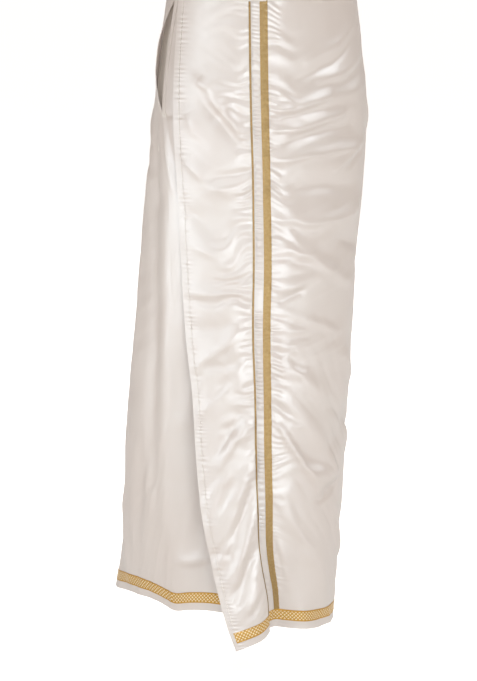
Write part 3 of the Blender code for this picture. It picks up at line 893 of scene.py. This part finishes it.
# %% Zari: gold thread in bands, and in the hem border
def zari_finish(name, colour, worn_colour):
    """Gold thread, ribbed across the tape."""
    material, tree, shader = new_finish(name, colour, 0.38, 0.7)
    weave_bump(tree, shader, 0.0011, 0.6, 0.0002)
    laid = add(tree, "UVMap").outputs["UV"]
    worn = add(tree, "TexNoise", {"Vector": laid, "Scale": 240.0, "Detail": 3.0})
    tone_between(tree, shader, worn.outputs["Fac"], colour, worn_colour)
    return material


LATTICE = 0.0029         # half a diamond, in metres
PLAIN_EDGE = 2.2         # millimetres of plain gold along each edge of the border


def border_finish(name, gold, pale):
    """Gold border: a lattice of small diamonds between two plain gold edges."""
    material, tree, shader = new_finish(name, gold, 0.38, 0.7)
    parts = add(tree, "SeparateXYZ", {0: add(tree, "UVMap").outputs["UV"]})
    across = work_out(tree, "PINGPONG", parts.outputs["X"], LATTICE)
    up = work_out(tree, "PINGPONG", parts.outputs["Y"], LATTICE)
    off_line = work_out(tree, "SUBTRACT", work_out(tree, "ADD", across, up), LATTICE)
    off_line = work_out(tree, "ABSOLUTE", off_line)
    diamond = work_out(tree, "GREATER_THAN", off_line, 0.42 * LATTICE)
    off_middle = work_out(tree, "SUBTRACT", parts.outputs["Y"], 0.5 * BORDER_HEIGHT * MM)
    off_middle = work_out(tree, "ABSOLUTE", off_middle)
    inside = work_out(tree, "LESS_THAN", off_middle, (0.5 * BORDER_HEIGHT - PLAIN_EDGE) * MM)
    mask = work_out(tree, "MULTIPLY", diamond, inside)
    tone_between(tree, shader, mask, gold, pale)
    metal = add(tree, "MapRange", {"Value": mask, "To Min": 0.6, "To Max": 0.15})
    tree.links.new(metal.outputs["Result"], shader.inputs["Metallic"])
    threads = weave_bump(tree, shader, 0.0009, 0.5, 0.00015)
    raised = add(tree, "Bump", {"Height": mask, "Strength": 0.4, "Distance": 0.0002,
                                "Normal": threads.outputs["Normal"]})
    tree.links.new(raised.outputs["Normal"], shader.inputs["Normal"])
    return material


gold_zari = zari_finish("gold_zari", "937242", "B69D6F")
line_zari = zari_finish("gold_line_zari", "856A42", "AC9268")
zari_border = border_finish("zari_border", "C59541", "EAD9B4")
print("diamond of the border:", 2.0 * LATTICE / MM, "mm")

# %% Cotton and thread
pocket_cotton, cotton_tree, cotton_shader = new_finish("pocket_cotton", "EDE5DC", 0.85)
weave_bump(cotton_tree, cotton_shader, 0.0008, 0.4, 0.0002)
sewing_thread = new_finish("ivory_thread", "F4EDE2", 0.5)[0]
gold_thread = new_finish("gold_thread", "C79A45", 0.4)[0]
print("finishes:", [finish.name for finish in (ivory_satin, gold_zari, line_zari, zari_border,
                                              pocket_cotton, sewing_thread, gold_thread)])

# %% [markdown]
# ## The large pieces
# The real cloth is one length. Here it is cut where a fold, a band or the side seam hides the cut,
# and once on the wearer's left side, so that each panel can have rows and columns of its own. Rows
# are close together where puckers run, because a pucker is only 6 to 8 mm from crest to crest.
# On the hidden sides and back, 4 mm is close enough, and saves most of the faces.


# %% How a panel is cut
PANEL_LENGTH = 1000.0    # millimetres from the top to the hem, near enough to space the rows


def flat_size(points):
    """Width and length of a panel as it was cut, from its own rows and columns."""
    across = np.linalg.norm(np.diff(points[::20], axis=1), axis=2).sum(axis=1)
    down = np.linalg.norm(np.diff(points[:, ::4], axis=0), axis=2).sum(axis=0)
    area = float(across.mean() * down.mean())
    width, length = round(float(across.max()), 3), round(float(down.max()), 3)
    return (width, length), min(area, width * length)


def panel_sheet(name, panel, edges, across, rows, *nodes):
    """A panel from the top to the hem, and the size that it was cut to."""
    down = even_shares(rows, PANEL_LENGTH)
    turn, height = places_between(*edges, level(0.0), hem_height, across, down)
    points = on_panel(panel, turn, height)
    cut = flat_size(points)
    print(name, points.shape[0], "rows of", points.shape[1], "points, cut to", cut)
    return finish_piece(lay_sheet(name, points, CLOTH, ivory_satin), "ivory_satin", *nodes), cut


def tucked_edge(height):
    return beside(fold_edge, -STRIP_TUCK)(height)


print("at the hip the strip starts at turn", round(float(tucked_edge(-200.0)), 1),
      "and the flap ends at", float(fold_edge(-200.0)))


# %% Cloth of the five panels
bpy.ops.object.select_all(action="DESELECT")
# the front's columns, in millimetres from its edge at the strip: 2 mm apart where it puckers
# beside the gold band, and 4 mm apart beyond
fine_then_wide = np.concatenate([
    [0.0, 0.3], np.linspace(2.0, 32.0, 16), np.linspace(36.0, 264.0, 58), [266.7, 267.0]]) / 267.0
flap, flap_cut = panel_sheet("front_flap_cloth", "flap", (free_edge, fold_edge),
                             even_shares(60, 130.0), 600, "front_flap")
strip, strip_cut = panel_sheet("front_strip_cloth", "strip", (tucked_edge, band_edge),
                               even_shares(13, 16.0), 980, "front_strip")
front, front_cut = panel_sheet("front_wrap_cloth", "front", (band_edge, at_turn(SEAM_TURN)),
                               fine_then_wide, 580, "front_left_stretch")
back, back_cut = panel_sheet("side_and_back_wrap_cloth", "back",
                             (at_turn(SEAM_TURN), pocket_back_edge), even_shares(134, 520.0), 290,
                             "left_side_stretch", "back_stretch", "right_side_stretch")
under, under_cut = panel_sheet("under_layer_cloth", "under", (side_seam, at_turn(INNER_END)),
                               even_shares(66, 230.0), 290, "under_stretch")

# %% [markdown]
# ## Gold bands and the flap's hem
# Two tapes of gold zari, one wide and one narrow, run down the two sides of the puckered strip, and
# the flap's free edge is turned over and stitched. A flat tape could be projected on the cloth, but
# it would stretch over the creases. So each is made from the places of the panel that it lies on,
# moved out by half a millimetre.


# %% Edges of the bands
RUNNING_ROWS = 600


def past_fold(width):
    return beside(fold_edge, width)


def on_band(width, foot_width):
    """A place across the gold band. The band narrows to its foot, where it turns into the fold."""
    def edge(height):
        return beside(band_edge, np.interp(height, (-960.0, -840.0), (foot_width, width)))(height)
    return edge


def line_edge(height):
    """The gold line narrows below the knee, where the fold carries part of it out of sight."""
    return past_fold(np.interp(height, (-880.0, -700.0), (-2.2, -3.9)))(height)


def hem_edge(height):
    """Inner edge of the flap's turned hem, which is narrower at its corner."""
    width = np.interp(height, (-960.0, -900.0), (FLAP_HEM_WIDTH - 4.5, FLAP_HEM_WIDTH))
    return beside(free_edge, width)(height)


from_waistband = level(-WAISTBAND_HEIGHT + 2.0)
to_border = above_hem(BORDER_ABOVE_HEM + BORDER_HEIGHT - 0.1)
print("the bands start at", from_waistband(0.0), "mm and end at", np.round(to_border(0.0), 1))

# %% Gold bands and turned hem
gold_band = ribbon("gold_band_zari", "front", (on_band(0.2, 4.0), on_band(GOLD_BAND_WIDTH, 13.5)),
                   (from_waistband, to_border), (8, RUNNING_ROWS), RIBBON,
                   gold_zari, "gold_zari", "gold_band")
gold_line = ribbon("gold_line_zari", "flap", (line_edge, past_fold(-0.9)),
                   (from_waistband, to_border), (4, RUNNING_ROWS), RIBBON,
                   line_zari, "gold_zari", "gold_line")
flap_hem = ribbon("flap_turned_hem", "flap", (beside(free_edge, -0.4), hem_edge),
                  (from_waistband, above_hem(0.0)), (8, RUNNING_ROWS), FLAP_TURNED,
                  ivory_satin, "ivory_satin", "flap_edge_hem")
for band in (gold_band, gold_line, flap_hem):
    print(band.name, len(band.data.polygons), "faces")

# %% [markdown]
# ## The hem border
# One tape of gold diamonds is sewn on all round, a little above the hem, and it goes into the
# folds with the cloth. Here each panel has its own length of it. The UV map is in metres, so the
# diamonds are of one size everywhere.

# %% Border on each panel
border_levels = (above_hem(BORDER_ABOVE_HEM + BORDER_HEIGHT), above_hem(BORDER_ABOVE_HEM))
for name, panel, edges, columns, nodes in (
        ("border_on_flap", "flap", (beside(free_edge, 5.7), past_fold(-0.3)), 40,
         ("border_flap",)),
        ("border_on_strip", "strip", (past_fold(0.3), beside(band_edge, -0.2)), 8,
         ("border_strip",)),
        ("border_on_front", "front", (beside(band_edge, 0.2), at_turn(SEAM_TURN)), 110,
         ("border_front",)),
        ("border_on_sides_and_back", "back", (at_turn(SEAM_TURN), beside(side_seam, -0.05)), 240,
         ("border_left", "border_back", "border_right")),
        ("border_on_under_layer", "under", (beside(side_seam, 0.05), at_turn(INNER_END)), 100,
         ("border_under",))):
    ribbon(name, panel, edges, border_levels, (columns, 14), RIBBON,
                          zari_border, "gold_border", *nodes)

# %% [markdown]
# ## The waistband
# A plain band of the same satin holds the top. It is made like the border, but it lies on no
# panel's creases: it is pulled tight, so it only has the small puckers of its own stitches. In
# front one length goes over the flap, the strip and the front, and steps down from one to the next.


# %% Waistband
WAISTBAND_LIFT = 0.95
WAISTBAND_ROWS = 16


def waist_places(left, right, columns, stepped):
    """A band round the waist. In front it steps down smoothly from the flap to the front."""
    across = np.linspace(0.0, 1.0, columns)
    down = np.linspace(0.0, 1.0, WAISTBAND_ROWS)
    turn, height = places_between(left, right, level(0.0), level(-WAISTBAND_HEIGHT), across, down)
    relief = 0.16 * puckers(turn * MM_PER_DEGREE, 9.0, 73)
    if stepped:
        fold = fold_edge(height)
        share = np.clip((turn - fold) / (band_edge(height) - fold), 0.0, 1.0)
        past = np.clip((turn - band_middle(height)) / STEP_WIDTH, 0.0, 1.0)
        relief = relief - step_depth(height) * share * 0.5 * (1.0 + np.cos(math.pi * past))
    return turn, height, relief


for name, left, right, columns, stepped, nodes in (
        ("waistband_in_front", free_edge, at_turn(SEAM_TURN), 150, True, ("waistband_front",)),
        ("waistband_round_back", at_turn(SEAM_TURN), beside(side_seam, -0.3), 180, False,
         ("waistband_left", "waistband_back", "waistband_right")),
        ("waistband_under_flap", beside(side_seam, 0.3), at_turn(INNER_END), 90, False,
         ("waistband_under",))):
    turn, height, relief = waist_places(left, right, columns, stepped)
    band = lay_sheet(name, cloth_points(turn, height, relief + WAISTBAND_LIFT), TURNED, ivory_satin)
    finish_piece(band, "ivory_satin", *nodes)

# %% [markdown]
# ## The pocket
# The side seam is left open below the waistband, and each side of the opening is turned over and
# stitched. A cotton pouch hangs behind it. Only its half nearer the body shows through the mouth,
# so one sheet is made, which joins the cloth at its rim and sags inwards in its middle.


# %% Turned edges of the pocket's mouth, and the pouch behind it
MOUTH_FOOT = -210.0
POUCH_FOOT = -262.0
POUCH_DEPTH = 14.0

mouth_levels = (level(-WAISTBAND_HEIGHT + 1.0), level(MOUTH_FOOT))
mouth_front = ribbon("pocket_mouth_front_edge", "under",
                     (beside(side_seam, -0.2), beside(side_seam, 8.0)), mouth_levels, (9, 120),
                     TURNED, ivory_satin, "pocket_cloth", "pocket_edge_front")
mouth_back = ribbon("pocket_mouth_back_edge", "back",
                    (beside(pocket_back_edge, -6.0), beside(pocket_back_edge, 0.2)),
                    mouth_levels, (7, 120), TURNED, ivory_satin, "pocket_cloth", "pocket_edge_back")


def pouch_points():
    across = np.linspace(0.0, 1.0, 40)
    down = np.linspace(0.0, 1.0, 60)
    turn, height = places_between(beside(pocket_back_edge, -24.0), beside(side_seam, 22.0),
                                  level(-4.0), level(POUCH_FOOT), across, down)
    inside = np.sin(math.pi * across)
    inside_down = np.sin(math.pi * down)[:, None]
    depth = POUCH_DEPTH * inside ** 0.8 * inside_down ** 0.6
    slack = 1.1 * wander(turn * MM_PER_DEGREE, height, 24.0, 81) * inside * inside_down
    bulge = np.where(turn < pocket_back_edge(height), pocket_bulge(turn, height), 0.0)
    return cloth_points(turn, height, slack - 2.2 - depth + 0.5 * bulge)


pouch = lay_sheet("pocket_pouch", pouch_points(), TURNED, pocket_cotton)
finish_piece(pouch, "pocket_cloth", "pocket_facing")
print("pocket:", [piece.name for piece in (mouth_front, mouth_back, pouch)])

# %% [markdown]
# ## Stitches
# One stitch is a small ico sphere, drawn out to 2.4 mm. A seam lays copies of it one behind the
# other along lines on a panel. Twenty faces are enough, because a stitch is only half a millimetre
# wide and there are about 2,500 of them. A bump on the cloth would need no faces, but its stitches
# would have no edge to catch the light.


# %% One stitch, and a seam of them
STITCH_START = 1.6       # millimetres from a line's end to the middle of its first stitch
STITCH_PITCH = 3.1
STITCH_LENGTH = 2.4
STITCH_WIDTH = 0.55
STITCH_HEIGHT = 0.44


def stitch_shape():
    bpy.ops.mesh.primitive_ico_sphere_add(subdivisions=1, radius=0.5)
    pattern = bpy.context.object
    points = np.array([vertex.co[:] for vertex in pattern.data.vertices])
    faces = np.array([face.vertices[:] for face in pattern.data.polygons])
    bpy.data.meshes.remove(pattern.data)       # the object goes with its mesh
    return points * np.array([STITCH_LENGTH, STITCH_WIDTH, STITCH_HEIGHT]) * MM, faces


def between(places, along, values):
    """Values of a line's points at other places along it."""
    return np.stack([np.interp(places, along, values[:, axis]) for axis in range(3)], axis=1)


def seam_of_stitches(name, lines, material, slot):
    """Stitches along lines, each given as points from one end to the other and their normals."""
    shape, shape_faces = stitch_shape()
    points, faces, count = [], [], 0
    for path, normals in lines:
        along = np.concatenate([[0.0], np.cumsum(np.linalg.norm(np.diff(path, axis=0), axis=1))])
        middles = np.arange(STITCH_START * MM, along[-1], STITCH_PITCH * MM)
        centre = between(middles, along, path)
        up = between(middles, along, normals)
        forward = between(middles + MM, along, path) - centre
        forward = forward / (np.linalg.norm(forward, axis=1, keepdims=True) + 1.0e-9)
        side = np.cross(forward, up)
        placed = (centre[:, None] + shape[:, 0, None] * forward[:, None]
                  + shape[:, 1, None] * side[:, None] + shape[:, 2, None] * up[:, None])
        points.append(placed.reshape(-1, 3))
        for _ in middles:
            faces.append(shape_faces + count * len(shape))
            count += 1
    mesh = bpy.data.meshes.new(name)
    mesh.from_pydata(np.concatenate(points).tolist(), [], np.concatenate(faces).tolist())
    mesh.materials.append(material)
    mesh.shade_smooth()
    seam = bpy.data.objects.new(name, mesh)
    bpy.context.scene.collection.objects.link(seam)
    print(name, "has", count, "stitches")
    return finish_piece(seam, slot)


print("a stitch has", len(stitch_shape()[1]), "faces")


# %% Lines of stitches on a panel
STITCH_LIFT = 0.62       # on a ribbon, whose own surface lies at RIBBON_LIFT
HEM_STITCH_LIFT = 0.74
MOUTH_STITCH_LIFT = 0.72
TACK_LIFT = 1.2


def line_on(panel, turn, height, lift):
    """Points and outward normals along a line on a panel."""
    path = on_panel(panel, turn, height, lift)
    round_it = on_panel(panel, turn + 0.4, height, lift) - path
    up = on_panel(panel, turn, height + 1.0, lift) - path
    normals = np.cross(round_it, up)
    return path, normals / np.linalg.norm(normals, axis=-1, keepdims=True)


def line_down(panel, edge, bottom, top=-WAISTBAND_HEIGHT, lift=STITCH_LIFT):
    height = np.linspace(top, bottom, int(abs(top - bottom)))
    return line_on(panel, edge(height), height, lift)


def line_round(panel, start, end, rise):
    turn = np.linspace(start, end, int(abs(end - start) * 3.0))
    return line_on(panel, turn, hem_height(turn) + rise, STITCH_LIFT)


# %% Seams down the cloth
BAND_STITCH_END = -959.0
LINE_STITCH_END = -733.0     # below it the gold line's stitches lie inside the fold
HEM_STITCH_END = -974.0
band_stitches = seam_of_stitches("gold_band_stitches", [
    line_down("front", on_band(0.9, 4.7), BAND_STITCH_END),
    line_down("front", on_band(11.2, 12.7), BAND_STITCH_END)], gold_thread, "gold_zari")
line_stitches = seam_of_stitches("gold_line_stitches", [
    line_down("flap", past_fold(-2.4), LINE_STITCH_END)], gold_thread, "gold_zari")
hem_stitches = seam_of_stitches("flap_hem_stitches", [
    line_down("flap", beside(free_edge, 9.2), HEM_STITCH_END, lift=HEM_STITCH_LIFT)],
    sewing_thread, "ivory_satin")

# %% Seams of the border
border_lines = []
for rise in (BORDER_ABOVE_HEM + 1.0, BORDER_ABOVE_HEM + BORDER_HEIGHT - 0.8):
    border_lines += [line_round("flap", -20.3, -4.5, rise),
                     line_round("front", 3.0, SEAM_TURN, rise),
                     line_round("back", SEAM_TURN, 283.5, rise),
                     line_round("under", 284.5, INNER_END - 0.5, rise)]
border_stitches = seam_of_stitches("border_stitches", border_lines, gold_thread, "gold_border")

# %% Seams of the pocket's mouth, with the bar tack at its foot
mouth_top, mouth_end = -WAISTBAND_HEIGHT - 1.0, MOUTH_FOOT + 1.0
mouth_lines = [line_down("under", beside(side_seam, 7.0), mouth_end, mouth_top, MOUTH_STITCH_LIFT),
               line_down("back", beside(pocket_back_edge, -5.1), mouth_end, mouth_top,
                         MOUTH_STITCH_LIFT)]
for height in np.arange(POCKET_BOTTOM - 1.0, MOUTH_FOOT, -1.1):
    mouth_lines.append(line_on("under", np.linspace(270.2, 274.4, 12), height, TACK_LIFT))
mouth_stitches = seam_of_stitches("pocket_mouth_stitches", mouth_lines, sewing_thread,
                                  "pocket_cloth")

# %% Seams of the waistband
waist_lines = []
for row in (1, WAISTBAND_ROWS - 2):
    for left, right, columns, stepped in ((-83.5, 77.8, 500, True), (SEAM_TURN, 270.5, 600, False)):
        turn, height, relief = waist_places(at_turn(left), at_turn(right), columns, stepped)
        path = cloth_points(turn[row], height[row], relief[row] + WAISTBAND_LIFT + 0.07)
        out = cloth_points(turn[row], height[row], relief[row] + WAISTBAND_LIFT + 1.07) - path
        waist_lines.append((path, out / np.linalg.norm(out, axis=1, keepdims=True)))
waist_stitches = seam_of_stitches("waistband_stitches", waist_lines, sewing_thread, "ivory_satin")

# %% [markdown]
# The bands, hems and stitches are made from the places of the panels that they are sewn to.

# %% Sheets
print("cloths declared:", [cloth.name for cloth in (flap, strip, front, back, under, pouch)])

# %% [markdown]
# ## Camera, floor and light
# The camera stands 4 m away at the wearer's front right and looks slightly down, through a long
# lens, so the hem hardly curves. Satin shows its creases only where the light has edges, so
# softboxes stand round it under a dim sky: two large ones in front and above, a narrow one at the
# left, a small one low down for the hem, and a wide one behind for the sides that are turned away.
# The sky is a little warm and the softboxes a little cool, as daylight is, so the highlights look
# whiter than the cloth.

# %% Camera
CAMERA_PLACE = (-2.031, -3.446, 0.12)
CAMERA_TILT = 80.37      # degrees up from straight down
CAMERA_TURN = -30.0
bpy.ops.object.camera_add(location=CAMERA_PLACE,
                          rotation=(math.radians(CAMERA_TILT), 0.0, math.radians(CAMERA_TURN)))
camera = bpy.context.object
camera.name = "camera"
camera.data.sensor_fit = "HORIZONTAL"
camera.data.sensor_width = 36.0
camera.data.lens = 200.0
bpy.context.scene.camera = camera
print("camera stands", round(math.hypot(*CAMERA_PLACE[:2]), 2), "m away")

# %% Floor
FLOOR_HEIGHT = -1.075
bpy.ops.mesh.primitive_plane_add(size=120.0, location=(0.0, 0.0, FLOOR_HEIGHT))
floor = bpy.context.object
floor.name = "floor"
floor_paint, floor_tree, floor_shader = new_finish("floor_paint", "CFCDCA", 0.8)
floor_shader.inputs["Emission Color"].default_value = (1.0, 0.985, 0.97, 1.0)
seen_floor = add(floor_tree, "LightPath").outputs["Is Camera Ray"]
floor_glow = work_out(floor_tree, "MULTIPLY_ADD", seen_floor, 0.55, 0.21)
floor_tree.links.new(floor_glow, floor_shader.inputs["Emission Strength"])
floor.data.materials.append(floor_paint)

# %% Sky: plain white to the camera, dim and warm to the cloth
WARM = (1.0, 0.905, 0.84, 1.0)
world = bpy.data.worlds.new("studio")
bpy.context.scene.world = world
world.use_nodes = True
sky = world.node_tree
seen = add(sky, "Background", {"Color": (1.0, 1.0, 1.0, 1.0), "Strength": 1.0})
upward = add(sky, "SeparateXYZ", {0: add(sky, "TexCoord").outputs["Generated"]})
brighter = add(sky, "MapRange", {"Value": upward.outputs["Z"], "From Min": -0.1, "From Max": 0.8,
                                 "To Min": 0.07, "To Max": 0.60})
lighting = add(sky, "Background", {"Color": WARM, "Strength": brighter.outputs["Result"]})
path = add(sky, "LightPath")
mix = add(sky, "MixShader", {"Fac": path.outputs["Is Camera Ray"], 1: lighting.outputs[0],
                             2: seen.outputs[0]})
sky.links.new(mix.outputs[0], sky.nodes["World Output"].inputs["Surface"])
print("sky:", len(sky.nodes), "nodes")

# %% Softboxes
COOL = (0.895, 0.965, 1.0)


def add_softbox(name, azimuth, distance, height, aim_height, size, watts):
    """A square light at an azimuth from the front that faces the middle line at a height."""
    angle = math.radians(azimuth)
    place = (distance * math.sin(angle), -distance * math.cos(angle), height)
    tilt = math.atan2(distance, height - aim_height)
    bpy.ops.object.light_add(type="AREA", location=place, rotation=(tilt, 0.0, angle))
    light = bpy.context.object
    light.name = name
    light.data.shape = "RECTANGLE"
    light.data.size, light.data.size_y = size
    light.data.energy = watts
    light.data.color = COOL
    print(name, watts, "W")


add_softbox("key_light", -42.0, 4.0, 2.1, -0.5, (3.0, 2.4), 48.0)
add_softbox("top_light", 46.0, 4.0, 2.5, -0.5, (3.0, 2.4), 86.0)
add_softbox("left_light", -78.0, 2.7, -0.6, -0.7, (1.0, 1.9), 27.0)
add_softbox("low_light", -12.0, 2.7, -0.85, -0.85, (1.2, 0.8), 22.0)
add_softbox("back_light", 148.0, 4.5, 1.8, -0.5, (4.0, 3.0), 130.0)
bpy.context.scene.view_settings.view_transform = "Standard"
